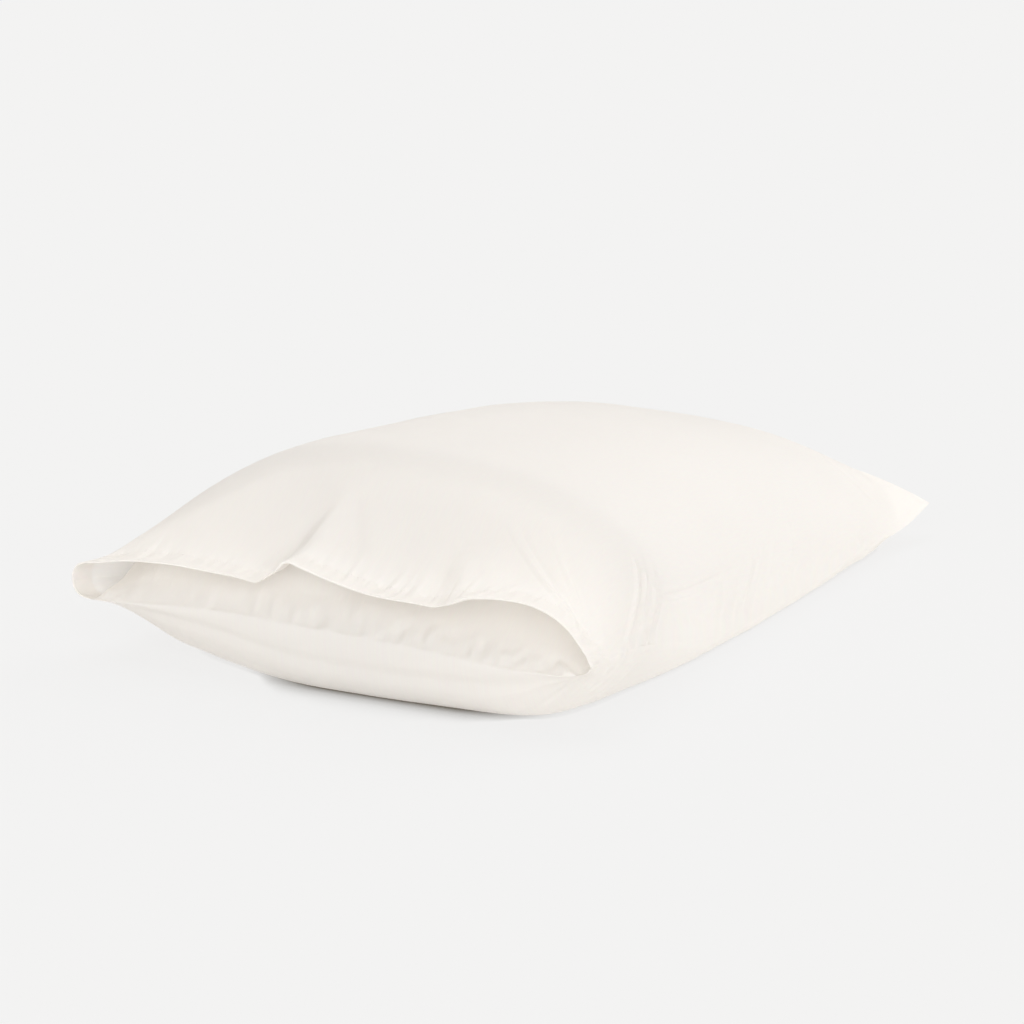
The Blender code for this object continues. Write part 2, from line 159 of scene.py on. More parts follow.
# Along the middle: (u, height of the upper cloth)
CROWN = (
    (0.00, 0.098), (0.06, 0.1256), (0.15, 0.1600), (0.22, 0.1672), (0.30, 0.1652), (0.40, 0.1605),
    (0.50, 0.1565), (0.70, 0.1445), (0.85, 0.1262), (0.93, 0.1108), (1.00, 0.0765),
)

# Folds of the upper cloth: three (u, v) points of the fold, how wide it is on its left and its
# right in mm, its height in mm, and the shares of its length over which it rises and dies out.
UPPER_FOLDS = (
    ((0.000, 0.108), (0.062, 0.168), (0.132, 0.055), 7, 24, 3.0, 0.0, 0.45),
    ((0.000, 0.235), (0.045, 0.285), (0.130, 0.095), 14, 8, -3.6, 0.0, 0.45),
    ((0.120, 0.052), (0.082, 0.012), (0.046, -0.108), 9, 26, -2.6, 0.2, 0.4),
    ((0.000, -0.450), (0.052, -0.395), (0.078, -0.380), 10, 6, -1.8, 0.0, 0.4),
    ((0.000, -0.572), (0.069, -0.475), (0.090, -0.415), 12, 22, 4.6, 0.0, 0.35),
    ((0.100, -0.505), (0.065, -0.590), (0.030, -0.640), 12, 12, 1.4, 0.4, 0.4),
    ((0.003, -0.975), (0.0725, -0.745), (0.128, -0.510), 1.9, 1.5, 1.1, 0.1, 0.2),
    ((0.010, -0.965), (0.082, -0.760), (0.131, -0.535), 1.7, 1.7, -0.9, 0.15, 0.25),
    ((0.004, -0.955), (0.052, -0.800), (0.085, -0.680), 1.8, 1.5, 0.9, 0.1, 0.4),
    ((0.014, -0.965), (0.105, -0.790), (0.150, -0.600), 2.2, 1.8, 0.9, 0.2, 0.5),
    ((0.085, -1.000), (0.175, -0.965), (0.212, -0.850), 2.4, 1.8, 1.9, 0.0, 0.3),
    ((0.098, -1.000), (0.185, -0.968), (0.215, -0.880), 2.0, 2.0, -1.5, 0.0, 0.35),
    ((0.112, -1.000), (0.198, -0.968), (0.232, -0.850), 2.2, 1.7, 1.6, 0.0, 0.35),
    ((0.140, -1.000), (0.205, -0.985), (0.250, -0.862), 2.4, 1.8, 2.0, 0.0, 0.35),
    ((0.155, -1.000), (0.215, -0.985), (0.252, -0.900), 2.0, 2.0, -1.4, 0.0, 0.4),
    ((0.165, -1.000), (0.215, -0.985), (0.265, -0.885), 2.0, 1.8, 1.1, 0.0, 0.5),
    ((0.190, -0.968), (0.310, -0.960), (0.445, -0.942), 3.4, 1.6, -1.6, 0.15, 0.25),
    ((0.200, -0.978), (0.270, -0.972), (0.340, -0.965), 1.8, 1.8, 0.9, 0.3, 0.4),
    ((0.345, -0.999), (0.374, -0.985), (0.408, -0.925), 2.2, 1.8, 1.5, 0.0, 0.4),
    ((0.362, -0.999), (0.395, -0.985), (0.422, -0.940), 2.0, 2.0, -1.2, 0.0, 0.4),
    ((0.382, -0.999), (0.418, -0.988), (0.440, -0.940), 2.2, 1.8, 1.3, 0.0, 0.4),
    ((0.405, -0.999), (0.444, -0.985), (0.500, -0.940), 3.0, 2.0, 1.7, 0.0, 0.4),
    ((0.425, -0.999), (0.464, -0.980), (0.510, -0.930), 2.4, 2.4, -1.2, 0.0, 0.4),
    ((0.440, -0.999), (0.490, -0.975), (0.545, -0.915), 3.0, 2.0, 1.5, 0.0, 0.4),
    ((0.480, -0.999), (0.530, -0.975), (0.580, -0.905), 2.6, 2.0, 1.0, 0.0, 0.5),
    ((0.567, -0.999), (0.600, -0.960), (0.640, -0.880), 3.0, 2.2, 1.3, 0.0, 0.5),
    ((0.790, -0.998), (0.800, -0.965), (0.815, -0.920), 3.0, 2.4, 1.2, 0.0, 0.5),
    ((0.925, -0.560), (0.890, -0.800), (0.889, -0.950), 3.2, 1.8, -1.5, 0.3, 0.2),
    ((0.918, -0.600), (0.880, -0.800), (0.880, -0.930), 2.0, 2.0, 0.9, 0.3, 0.3),
)

# Folds of the lower cloth, in the same columns
LOWER_FOLDS = (
    ((0.009, 0.930), (0.009, 0.100), (0.008, -0.860), 6, 6, -2.0, 0.1, 0.1),
    ((0.004, -0.970), (0.014, -0.850), (0.016, -0.560), 2.6, 2.6, 1.0, 0.1, 0.5),
    ((0.012, -0.985), (0.024, -0.880), (0.032, -0.700), 2.4, 2.4, -1.0, 0.1, 0.5),
    ((0.024, -0.990), (0.034, -0.920), (0.044, -0.820), 2.6, 2.2, 1.1, 0.1, 0.5),
    ((0.052, -0.998), (0.046, -0.940), (0.036, -0.860), 2.2, 2.0, 1.1, 0.0, 0.5),
    ((0.085, -1.000), (0.060, -0.960), (0.045, -0.890), 2.4, 1.8, 1.9, 0.0, 0.5),
    ((0.098, -1.000), (0.074, -0.960), (0.060, -0.890), 2.0, 2.0, -1.5, 0.0, 0.5),
    ((0.112, -1.000), (0.086, -0.960), (0.072, -0.885), 2.2, 1.7, 1.6, 0.0, 0.5),
    ((0.140, -1.000), (0.116, -0.965), (0.094, -0.885), 2.4, 1.8, 2.0, 0.0, 0.5),
    ((0.155, -1.000), (0.134, -0.965), (0.110, -0.900), 2.0, 2.0, -1.4, 0.0, 0.5),
)

# Folds of the flap: (share of its depth, v), in the same columns
FLAP_FOLDS = (
    ((0.000, -0.930), (0.030, -0.905), (0.085, -0.866), 3.2, 3.0, 2.6, 0.0, 0.5),
    ((0.005, -0.958), (0.035, -0.945), (0.090, -0.915), 3.6, 3.6, -1.8, 0.1, 0.5),
    ((0.50, 0.090), (0.30, 0.060), (0.12, 0.020), 5.0, 4.0, 1.0, 0.4, 0.4),
    ((0.45, -0.020), (0.25, -0.060), (0.08, -0.080), 6.0, 4.0, -0.9, 0.4, 0.4),
)

# Gathers and wrinkles, metres: heights, lengths of their waves, and how far they reach
HEM_GATHERS = {
    "height": 0.0026, "wave": 0.0052, "fine_wave": 0.0034, "fine_share": 0.5, "lean": 0.25,
    "lean_wave": 0.05, "patch": 0.045, "patch_range": (-0.5, 0.6), "least": 0.3, "line": 0.019,
    "spread": 0.013, "start": (-0.002, 0.005),
}
FOLD_GATHERS = {
    "height": 0.0015, "wave": (0.012, 0.012), "fine_wave": (0.0065, 0.008), "fine_share": 0.8,
    "lean": 0.3, "lean_wave": 0.04, "patch": 0.05, "patch_range": (-0.6, 0.5), "least": 0.35,
    "start": (0.0, 0.004), "stop": (0.010, 0.026),
}
SEAM_WRINKLES = {
    "wave": 0.013, "fine_wave": 0.0065, "fine_share": 0.45, "patch": 0.085,
    "patch_range": (-0.35, 0.5), "start": (0.0, 0.010), "spread": 0.022,
}
# Seam, seed, how far its wrinkles lean, and their height
UPPER_SEAMS = (("near", 10, 0.75, 0.0012), ("far", 20, 0.75, 0.0021), ("end", 30, 0.2, 0.0015))
LOWER_SEAMS = (("near", 40, -0.5, 0.0010), ("far", 50, -0.5, 0.0018))
FLAP_SEED = 60
# Slow waves of a cloth: length along it, length across it, height, seed
UPPER_WAVES = ((0.085, 0.075, 0.0009, 0), (0.036, 0.030, 0.00036, 1))
LOWER_WAVES = ((0.06, 0.07, 0.0010, 5),)
FLAP_WAVES = ((0.05, 0.04, 0.0008, 6),)
HEM_STRETCH = 1.05
SIDE_FADE = 0.05
END_FADE = 0.06
LIP_FADE = 0.03
SEAM_HOLD = 0.004
FLAP_WAVE_START = (0.004, 0.03)
FLAP_WAVE_STOP = (0.05, 0.09)
NOISE_LENGTH = 512
NOISE_SIDE = 64

# Numbers of mesh rows and columns, and how they crowd
COLUMNS = 390
CROWDING_STEPS = 4001
# Place across the case, width of the place, and how much closer the columns are there
COLUMN_CROWDING = ((-1.0, 0.16, 2.6), (1.0, 0.10, 0.9), (-0.7, 0.22, 0.7))
NEAR_ROWS = 88
FAR_ROWS = 152
ROWS_SPLIT = 0.20
FAR_ROWS_POWER = 1.15
HEM_ROWS = 7
ROUND_ROWS = 4
TURN_ROWS = 66
TURN_ROWS_POWER = 1.7
UNDER_ROWS = 96
UNDER_ROWS_POWER = 1.25
FLAP_ROWS = 70
FLAP_ROWS_POWER = 1.3
FOLD_PASSES = 3
FOLD_ROWS = 5.0
FOLD_STEPS = 25
FOLD_REACH = 3.2
WELD = 0.008

# The pillow, in shares of the case, and its gaps to the cloth in metres
PILLOW_ROWS = ((96, 84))
PILLOW_CROWDING = 0.6
PILLOW_MIDDLE = 0.515
PILLOW_HALF_LENGTH = 0.455
PILLOW_HALF_WIDTH = 0.95
PILLOW_ROUNDNESS = 0.16
PILLOW_GAP_ABOVE = 0.0042
PILLOW_GAP_BELOW = 0.0050
PILLOW_FLATNESS = 6
PILLOW_EDGE_POWER = 0.4
UNDER_FLAP_REACH = 1.02

# Stitches of the hem, metres; a stitch's shape is (share of its length, share of its radius)
STITCH_MARGIN = 0.006
STITCH_PITCH = 0.0031
STITCH_LENGTH = 0.0023
STITCH_RADIUS = 0.00020
STITCH_SIDES = 6
STITCH_SHAPE = ((0.0, 0.25), (0.2, 0.9), (0.5, 1.0), (0.8, 0.9), (1.0, 0.25))
STITCH_SINK = 0.6
STITCH_STEP = 1e-4

# Shade, warmer shade, roughness, and the share of light that comes through
LOOKS = {
    "ivory_percale": ((0.955, 0.924, 0.885), (0.965, 0.938, 0.900), 0.86, 0.40),
    # The lower cloth's copy is a touch warmer, a painted shade for its underside and flap, which
    # lie mostly in shadow
    "ivory_percale_low_shaded": ((0.955, 0.924, 0.883), (0.965, 0.938, 0.898), 0.87, 0.40),
    "pillow_casing": ((0.95, 0.93, 0.90), (0.96, 0.94, 0.92), 0.90, 0.0),
    "ivory_thread": ((0.935, 0.900, 0.855), (0.950, 0.918, 0.875), 0.80, 0.0),
}
# Noise textures: scale and detail
BROAD_TINT = (7.0, 3.0)
SLUBS = (900.0, 2.0)
CRUMPLE = (70.0, 4.0)
GATHERS = (1.0, 2.0)
GATHER_PATCHES = (16.0, 1.0)
SLUB_STRETCH = (0.12, 1.0, 1.0)
SLUB_SHARE = 0.05
GATHER_STRETCH = (60.0, 260.0, 1.0)
GATHER_REACH = (0.016, 0.001)
PATCH_RANGE = (0.42, 0.62, 0.25)
WEAVE_PITCH = 0.00045
WEAVE_WAVER = {"Distortion": 1.2, "Detail": 1.0, "Detail Scale": 0.05}
# Bumps: strength and height in metres
WEAVE_BUMP = (0.06, 0.0001)
GATHER_BUMP = (0.5, 0.0011)
CRUMPLE_BUMP = (0.12, 0.0012)
ROUGHNESS_LESS = 0.06
ROUGHNESS_MORE = 0.05
COTTON = {"Sheen Weight": 0.12, "Sheen Roughness": 0.5, "Specular IOR Level": 0.25}

# Name, energy, colour, angle, azimuth and height of each lamp; the last three in degrees
LAMPS = (
    ("front", 1.29, (0.965, 1.00, 1.06), 45, -45, 18),
    ("left", 0.64, (1.00, 1.00, 0.99), 45, -85, 18),
    ("right", 0.88, (0.98, 1.00, 1.03), 45, 70, 32),
    ("top", 0.90, (0.98, 1.00, 1.03), 45, 150, 65),
    ("bounce", 0.78, (1.00, 0.99, 0.98), 45, 47, -33),
)
ROOM_COLOUR = (1.0, 0.988, 0.970, 1.0)
ROOM_STRENGTH = 0.57

# The floor, and its shade near the contact: where it is widest, then its reach and its strength,
# each as (distance from there, distance, value at the first, value at the second)
FLOOR_HALF = 40.0
FLOOR_LEVEL = -0.0005
FLOOR_BASE = (0.10, 0.10, 0.10, 1.0)
FLOOR_COLOUR = (0.782, 0.778, 0.772, 1.0)
SHADE_COLOUR = (0.09, 0.075, 0.055, 1.0)
SHADE_OPEN = 0.66
SHADE_SAMPLES = 16
SHADE_MIDDLE = (-0.36, -0.050, 0.0)
SHADE_REACH = (0.03, 0.125, 0.115, 0.006)
SHADE_STRENGTH = (0.06, 0.15, 1.0, 0.11)

# The camera: focal length in pixels of a picture 1024 wide, angles in degrees, lengths in metres
PICTURE = 1024
FOCAL_LENGTH = 2576.3
SENSOR_MM = 36.0
CAMERA_AZIMUTH = -61.51
CAMERA_HEIGHT = 13.16
CAMERA_DISTANCE = 2.4
CAMERA_AIM = (0.063 + SHIFT_X, 0.063, 0.05)


def smooth(value, low, high):
    """Ease from 0 at low to 1 at high."""
    s = np.clip((value - low) / (high - low), 0.0, 1.0)
    return s * s * (3.0 - 2.0 * s)


def curve(t, table):
    """Read a smooth curve through the (position, value) rows of a table."""
    x, y = np.array(table, float).T
    step = np.diff(x)
    slope = np.diff(y) / step
    tangent = np.empty(len(x))
    tangent[0], tangent[-1] = slope[0], slope[-1]
    tangent[1:-1] = (slope[:-1] * step[1:] + slope[1:] * step[:-1]) / (x[2:] - x[:-2])
    t = np.clip(t, x[0], x[-1])
    i = np.clip(np.searchsorted(x, t, side="right") - 1, 0, len(x) - 2)
    s = (t - x[i]) / step[i]
    rise = step[i]
    from_left = (2 * s**3 - 3 * s**2 + 1) * y[i] + (s**3 - 2 * s**2 + s) * rise * tangent[i]
    return from_left + (3 * s**2 - 2 * s**3) * y[i + 1] + (s**3 - s**2) * rise * tangent[i + 1]


def plan(u, v):
    """Position on the floor of each point of the cloth."""
    pull = 1.0 - np.abs(2.0 * u - 1.0) ** DRAW_SIDE_POWER
    near = WIDTH / 2 - DRAW_NEAR * pull
    far = WIDTH / 2 - DRAW_FAR * pull
    y = np.where(v < 0, v * near, v * far)
    y = y + LOOP_BULGE * smooth(v, LOOP_BULGE_START, 1.0) * (1.0 - smooth(u, 0.0, LOOP_BULGE_STOP))
    mouth = -LENGTH / 2 - MOUTH_BULGE * (1.0 - v**2)
    end = LENGTH / 2 - DRAW_END * (1.0 - np.abs(v) ** DRAW_END_POWER)
    return SHIFT_X + mouth + (end - mouth) * u, y


def seam_height(u, v):
    """Height of the seams, carried on between them."""
    far = (v + 1.0) / 2.0
    rise = END_RISE * (1.0 - np.abs(v) ** END_RISE_POWER)
    return (1 - far) * curve(u, NEAR_SEAM) + far * curve(u, FAR_SEAM) + u * rise


def fold_dip(v):
    """How far the fold at the mouth lies under the line between the seams."""
    return seam_height(0.0 * v, v) - curve(v, FOLD_LINE)


def ear_share(u, v):
    """How much the corners of the closed end are filled: 1 inside, 0 at their tips."""
    reach = np.clip(2.0 * u - 1.0, 0.0, 1.0) ** EAR_SQUARENESS + np.abs(v) ** EAR_SQUARENESS
    return 1.0 - smooth(reach ** (1 / EAR_SQUARENESS), EAR_START, EAR_STOP)


def turn_span(v):
    """Share of the length over which the lower cloth turns down from the mouth."""
    return TURN_SPAN + FAR_TURN * smooth(v, 0.0, FAR_TURN_STOP)


def corner_share(u, v):
    """How much the corners of the mouth are filled below."""
    back = np.clip(1.0 - u / turn_span(v), 0.0, 1.0)
    reach = back ** CORNER_SQUARENESS + np.abs(v) ** CORNER_SQUARENESS
    return 1.0 - smooth(reach ** (1 / CORNER_SQUARENESS), CORNER_START, CORNER_STOP)


def ear_loft(u, v):
    """The little height that the cloth keeps where nothing fills it."""
    side = 1.0 - (1.0 - np.clip((1.0 - np.abs(v)) / EAR_LOFT_SIDE, 0.0, 1.0)) ** 2
    end = 1.0 - (1.0 - np.clip((1.0 - u) / EAR_LOFT_END, 0.0, 1.0)) ** 2
    return EAR_LOFT * side * end


def lip_share(u, v):
    """How much the lip shapes the upper cloth: 1 at the mouth, 0 past its reach."""
    reach = LIP_REACH - LIP_REACH_DROP * smooth(v, LIP_DROP_START, LIP_DROP_STOP)
    return 1.0 - smooth(u, 0.0, reach)


def soft_max(a, b, blend):
    """The larger of two heights, rounded where they cross."""
    return (a + b + np.sqrt((a - b) ** 2 + blend**2)) / 2.0


def front_face(u, v):
    """The upper cloth without its folds."""
    x, y = plan(u, v)
    seam = seam_height(u, v)
    end = smooth(u, END_START, 1.0)
    power = SIDE_POWER * (1 - end) + END_POWER * end
    power = power + FAR_SIDE_SLIM * smooth(v, FAR_SLIM_START, FAR_SLIM_STOP) * (1 - end)
    round_off = np.clip(1.0 - np.abs(v) ** SIDE_FLATNESS, 0.0, 1.0) ** power
    crown = (curve(u, CROWN) - seam_height(u, 0.0 * v)) * round_off * ear_share(u, v)
    loft = ear_loft(u, v)
    filled = seam + soft_max(crown, loft, np.minimum(loft, LOFT_BLEND))
    share = lip_share(u, v)
    edge = np.where(v < 0, 1.0 - smooth(1.0 - np.abs(v), 0.0, LIP_HOLD), np.abs(v) > 1 - TINY)
    lip = curve(v, UPPER_LIP) + (seam_height(u, np.sign(v)) - curve(np.sign(v), UPPER_LIP)) * edge
    z = filled * (1 - share) + lip * share
    return np.stack((x, y, z), -1)


def back_face(u, v):
    """The lower cloth without its folds."""
    x, y = plan(u, v)
    seam = seam_height(u, v)
    across = np.clip(1.0 - np.abs(v) ** UNDER_FLATNESS, 0.0, 1.0) ** UNDER_POWER
    mouth = (1.0 - (1.0 - np.clip(u / turn_span(v), 0.0, 1.0)) ** TURN_FLATNESS) ** TURN_POWER
    end = (1.0 - (1.0 - np.clip((1.0 - u) / END_SPAN, 0.0, 1.0)) ** 2) ** END_SPAN_POWER
    sag = FLOOR_DEPTH * across * mouth * end * ear_share(u, v) * corner_share(u, v)
    loft = ear_loft(u, v) * smooth(u, 0.0, LOFT_STOP)
    dip = fold_dip(v) * (1.0 - smooth(u, 0.0, DIP_STOP))
    z = soft_max(seam - dip - soft_max(sag, loft, np.minimum(loft, LOFT_BLEND)), 0.0, FLOOR_BLEND)
    level = np.clip(z / curve(v, FOLD_LINE), 0.0, 1.0)
    belly = 4.0 * level * (1.0 - level) * (1.0 - smooth(u, BELLY_START, BELLY_STOP)) * (1.0 - v**2)
    return np.stack((x - BELLY * belly, y, z), -1)


def outward(face, u, v, up):
    """Directions square to a face, up or down."""
    u0, u1 = np.clip(u - NUDGE, 0, 1), np.clip(u + NUDGE, 0, 1)
    v0, v1 = np.clip(v - NUDGE, -1, 1), np.clip(v + NUDGE, -1, 1)
    normal = np.cross(face(u1, v) - face(u0, v), face(u, v1) - face(u, v0))
    normal /= np.linalg.norm(normal, axis=-1, keepdims=True)
    return normal * up


def flap_width(t, v):
    """Width of the flap as a share of the case's, narrower away from its fold."""
    tuck = FLAP_TUCK_NEAR + (FLAP_TUCK_FAR - FLAP_TUCK_NEAR) * smooth(v, -FLAP_MIDDLE, FLAP_MIDDLE)
    return 1.0 - tuck * (1.0 - np.exp(-t / FLAP_TUCK_REACH))


def flap_face(t, v):
    """The inner flap without its folds: t runs from the fold (0) to its inner edge (1)."""
    u = t * FLAP_REACH
    w = v * flap_width(t, v)
    above = front_face(u, w)
    deep = above - outward(front_face, u, w, 1.0) * (HEM_THICK + FLAP_GAP)
    inward = u * LENGTH
    roll = curve(w, FLAP_ROLL)
    past = inward - FLAP_LEDGE * (1.0 - np.exp(-inward / FLAP_LEDGE))
    rise = FLAP_RISE * inward + roll * (1.0 - np.exp(-FLAP_SLOPE * past / roll))
    first = np.minimum(curve(w, FOLD_LINE) + rise, deep[..., 2])
    low = np.stack((above[..., 0], above[..., 1], first), -1)
    sink = NEAR_SINK + (FAR_SINK - NEAR_SINK) * smooth(w, SINK_START, SINK_STOP)
    sink = sink + FAR_END_SINK * smooth(w, FAR_END_START, FAR_END_STOP)
    share = smooth(inward, curve(w, FLAP_FLAT), sink)[..., None]
    return low * (1 - share) + deep * share


def noise_1d(x, seed):
    """Smooth random values from -1 to 1 along a line, one a unit."""
    table = np.random.default_rng(seed).uniform(-1.0, 1.0, NOISE_LENGTH)
    i = np.floor(x).astype(int)
    s = smooth(x - i, 0.0, 1.0)
    return table[i % NOISE_LENGTH] * (1 - s) + table[(i + 1) % NOISE_LENGTH] * s


def noise_2d(x, y, seed):
    """Smooth random values from -1 to 1 over a plane, one a unit square."""
    table = np.random.default_rng(seed).uniform(-1.0, 1.0, (NOISE_SIDE, NOISE_SIDE))
    i, j = np.floor(x).astype(int), np.floor(y).astype(int)
    s, t = smooth(x - i, 0.0, 1.0), smooth(y - j, 0.0, 1.0)
    i, j = i % NOISE_SIDE, j % NOISE_SIDE
    i_next, j_next = (i + 1) % NOISE_SIDE, (j + 1) % NOISE_SIDE
    low = table[i, j] * (1 - s) + table[i_next, j] * s
    high = table[i, j_next] * (1 - s) + table[i_next, j_next] * s
    return low * (1 - t) + high * t


def fold_field(points, normals, face, table):
    """Height of the folds of a table at each point of a cloth."""
    flat, up = points.reshape(-1, 3), normals.reshape(-1, 3)
    total = np.zeros(len(flat))
    for start, middle, stop, left, right, height, rise, fade in table:
        s = np.linspace(0.0, 1.0, FOLD_STEPS)[:, None]
        start, middle, stop = np.array(start), np.array(middle), np.array(stop)
        line = (1 - s) ** 2 * start + 2 * s * (1 - s) * middle + s**2 * stop
        path = face(line[:, 0], line[:, 1])
        reach = FOLD_REACH * max(left, right) / MM_IN_M
        near = np.all((flat > path.min(0) - reach) & (flat < path.max(0) + reach), axis=1)
        total[near] += one_fold(flat[near], up[near], path, left, right, height, rise, fade)
    return total.reshape(points.shape[:2])


def one_fold(points, up, path, left, right, height, rise, fade):
    """Height of one fold at each point near it."""
    nearest = np.full(len(points), np.inf)
    along = np.zeros(len(points))
    side = np.zeros(len(points))
    for k in range(len(path) - 1):
        a, d = path[k], path[k + 1] - path[k]
        t = np.clip((points - a) @ d / (d @ d), 0.0, 1.0)
        off = points - a - t[:, None] * d
        away = np.linalg.norm(off, axis=1)
        closer = away < nearest
        nearest = np.where(closer, away, nearest)
        along = np.where(closer, (k + t) / (len(path) - 1), along)
        side = np.where(closer, (np.cross(up, np.broadcast_to(d, off.shape)) * off).sum(1), side)
    width = np.where(side > 0, left, right) / MM_IN_M
    grow = smooth(along, 0.0, rise) if rise > 0 else 1.0
    die = 1.0 - smooth(along, 1.0 - fade, 1.0) if fade > 0 else 1.0
    return height / MM_IN_M * np.exp(-((nearest / width) ** 2)) * grow * die


def arc_from_side(points):
    """Distance along the cloth from the near and the far side seam to each point."""
    step = np.linalg.norm(np.diff(points, axis=1), axis=2)
    near = np.concatenate((np.zeros((len(points), 1)), np.cumsum(step, axis=1)), axis=1)
    return near, near[:, -1:] - near


def hem_puckers(s, d, seed):
    """Small gathers on both sides of a hem's stitch line: s along it, d from the edge."""
    g = HEM_GATHERS
    slanted = s + g["lean"] * (d - g["line"]) * noise_1d(s / g["lean_wave"], seed + 3)
    fine = g["fine_share"] * noise_1d(slanted / g["fine_wave"], seed + 1)
    wave = noise_1d(slanted / g["wave"], seed) + fine
    patches = smooth(noise_1d(s / g["patch"], seed + 2), *g["patch_range"])
    spread = np.exp(-np.abs(d - g["line"]) / g["spread"]) * smooth(d, *g["start"])
    return g["height"] * wave * (g["least"] + (1 - g["least"]) * patches) * spread


def fold_puckers(s, d, seed):
    """Uneven gathers just inside the fold of the flap: s along the fold, d from it."""
    g = FOLD_GATHERS
    slanted = s + g["lean"] * d * noise_1d(s / g["lean_wave"], seed + 3)
    coarse = noise_2d(slanted / g["wave"][0], d / g["wave"][1], seed)
    fine = noise_2d(slanted / g["fine_wave"][0], d / g["fine_wave"][1], seed + 1)
    patches = smooth(noise_1d(s / g["patch"], seed + 2), *g["patch_range"])
    spread = smooth(d, *g["start"]) * (1.0 - smooth(d, *g["stop"]))
    wave = coarse + g["fine_share"] * fine
    return g["height"] * wave * (g["least"] + (1 - g["least"]) * patches) * spread


def seam_puckers(s, d, seed, lean, height):
    """Slanting wrinkles that start from a seam: s along it, d from it."""
    g = SEAM_WRINKLES
    slanted = s - lean * d
    fine = g["fine_share"] * noise_1d(slanted / g["fine_wave"], seed + 1)
    wave = noise_1d(slanted / g["wave"], seed) + fine
    patches = smooth(noise_1d(s / g["patch"], seed + 2), *g["patch_range"])
    return height * wave * patches * smooth(d, *g["start"]) * np.exp(-d / g["spread"])


def slow_waves(s, across, rows):
    """Slow unevenness of a cloth: s along it."""
    total = np.zeros(s.shape)
    for length, width, height, seed in rows:
        total += height * noise_2d(s / length, across / width, RANDOM_SEED + seed)
    return total


def grid(rows, columns):
    """Two arrays of positions, one value a row and one a column."""
    return np.meshgrid(np.array(rows), np.array(columns), indexing="ij")


def spread(count, crowding):
    """Positions from 0 to 1, closer near both ends."""
    t = np.linspace(0.0, 1.0, count + 1)
    return t - crowding * np.sin(2 * np.pi * t) / (2 * np.pi)


def columns():
    """Positions across the case, closest at its near side, where most of the fine folds are."""
    count = COLUMNS
    v = np.linspace(-1.0, 1.0, CROWDING_STEPS)
    need = np.ones(len(v))
    for place, width, more in COLUMN_CROWDING:
        need += more * np.exp(-(((v - place) / width) ** 2))
    share = np.concatenate(([0.0], np.cumsum((need[1:] + need[:-1]) / 2)))
    return np.interp(np.linspace(0.0, share[-1], count + 1), share, v)


def front_rows():
    """Positions along the upper cloth, closest near the mouth."""
    few = 1
    near = np.linspace(0.0, ROWS_SPLIT, NEAR_ROWS // few)
    rest = 1 - (1 - np.linspace(0.0, 1.0, FAR_ROWS // few)[1:]) ** FAR_ROWS_POWER
    return np.append(near, ROWS_SPLIT + (1 - ROWS_SPLIT) * rest)


def upper_relief(u, v, points):
    """Folds, gathers and slow waves of the upper cloth."""
    normals = outward(front_face, u, v, 1.0)
    near, far = arc_from_side(points)
    s, end = u * LENGTH, (1.0 - u) * LENGTH
    folds = fold_field(points, normals, front_face, UPPER_FOLDS)
    height = hem_puckers(near, s * HEM_STRETCH, RANDOM_SEED)
    seams = {"near": (s, near), "far": (s, far), "end": (near, end)}
    for seam, seed, lean, high in UPPER_SEAMS:
        height += seam_puckers(*seams[seam], RANDOM_SEED + seed, lean, high)
    inside = smooth(near, 0.0, SIDE_FADE) * smooth(far, 0.0, SIDE_FADE) * smooth(end, 0.0, END_FADE)
    height += slow_waves(s, near, UPPER_WAVES) * inside * smooth(s, 0.0, LIP_FADE)
    height *= smooth(near, 0.0, SEAM_HOLD) * smooth(far, 0.0, SEAM_HOLD)
    return normals, (height + folds) * smooth(end, 0.0, SEAM_HOLD)


def front_points():
    """Grid of the upper cloth: its turned hem inside, the lip's edge, then its outer face."""
    u, v = grid(front_rows(), columns())
    points = front_face(u, v)
    normals, height = upper_relief(u, v, points)
    outer = points + normals * height[..., None]
    hem_u = np.linspace(HEM / LENGTH, 0.0, HEM_ROWS)
    hu, hv = grid(hem_u, columns())
    base = front_face(hu, hv)
    up, lift = upper_relief(hu, hv, base)
    under = base + up * (lift * HEM_FOLLOW - HEM_THICK)[..., None]
    edge = []
    forward = outer[0] - outer[1]
    forward /= np.linalg.norm(forward, axis=-1, keepdims=True)
    middle, half = (outer[0] + under[-1]) / 2, (under[-1] - outer[0]) / 2
    bulge = forward * np.linalg.norm(half, axis=-1, keepdims=True)
    for k in range(1, ROUND_ROWS):
        a = math.pi * k / ROUND_ROWS
        edge.append(middle + half * math.cos(a) + bulge * math.sin(a))
    rows_u = np.concatenate((hem_u, np.zeros(ROUND_ROWS - 1), front_rows()))
    return np.concatenate((under, np.array(edge), outer)), rows_u


def lower_relief(u, v, points):
    """Folds, wrinkles and slow waves of the lower cloth."""
    normals = outward(back_face, u, v, -1.0)
    near, far = arc_from_side(points)
    s = u * LENGTH
    folds = fold_field(points, normals, back_face, LOWER_FOLDS)
    inside = smooth(near, 0.0, SIDE_FADE) * smooth(far, 0.0, SIDE_FADE)
    height = slow_waves(s, near, LOWER_WAVES) * inside
    for seam, seed, lean, high in LOWER_SEAMS:
        height += seam_puckers(s, near if seam == "near" else far, RANDOM_SEED + seed, lean, high)
    height *= smooth(near, 0.0, SEAM_HOLD) * smooth(far, 0.0, SEAM_HOLD)
    return normals, (height + folds) * smooth((1.0 - u) * LENGTH, 0.0, SEAM_HOLD)


def weld_sides(lower, u, upper, upper_u):
    """Move the sides of the lower cloth onto those of the upper cloth, fading out inwards."""
    for side in (0, -1):
        line = np.stack([np.interp(u[:, 0], upper_u, upper[:, side, k]) for k in range(3)], -1)
        shift = line - lower[:, side]
        away = np.linalg.norm(lower - lower[:, side][:, None], axis=-1)
        lower = lower + shift[:, None] * (1.0 - smooth(away, 0.0, WELD))[..., None]
    return lower


